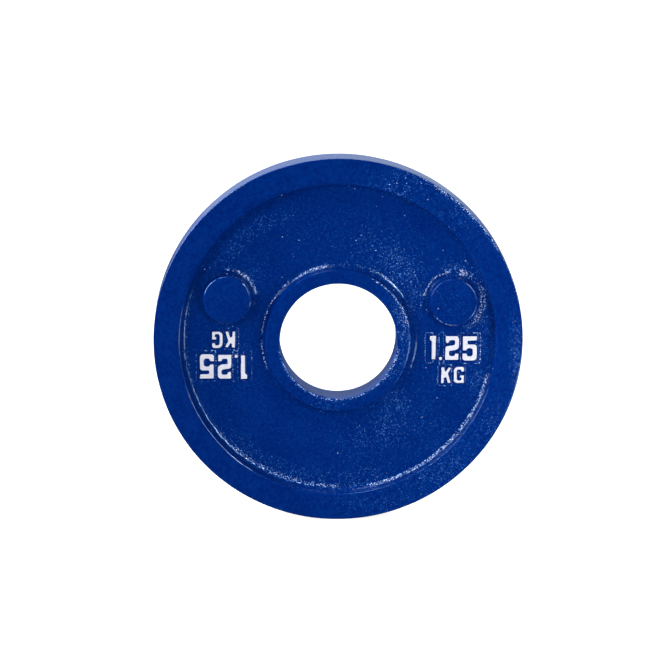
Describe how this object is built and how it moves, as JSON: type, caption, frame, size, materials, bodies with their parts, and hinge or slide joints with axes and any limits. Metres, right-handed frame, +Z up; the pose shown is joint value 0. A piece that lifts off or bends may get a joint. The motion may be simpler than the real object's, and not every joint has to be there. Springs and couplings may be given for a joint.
{
  "type": "calibrated weight plate",
  "caption": "Small round steel weight plate with a thick rim and hub, a thin recessed web, a centre bore for a bar sleeve and plugged calibration ports in round bosses.",
  "frame": {"origin": "on the bore's axis, halfway through the plate's thickness", "axes": "the plate stands upright: +Y along the bore's axis to the back, -Y to the front, +Z up"},
  "size_m": [0.16, 0.014, 0.16],
  "materials": {
    "blue_paint": "gloss paint over rough cast steel",
    "white_paint": "gloss white on the raised figures",
    "zinc_steel": "zinc plated, turned",
    "bare_steel": "bare, sawn and turned"
  },
  "bodies": {
    "root": {"plate_casting": "blue_paint", "calibration_plug_left": "zinc_steel", "calibration_plug_right": "zinc_steel", "trim_disc_left": "bare_steel", "trim_disc_right": "bare_steel", "ballast_slug_left": "bare_steel", "ballast_slug_right": "bare_steel"}
  },
  "joints": []
}
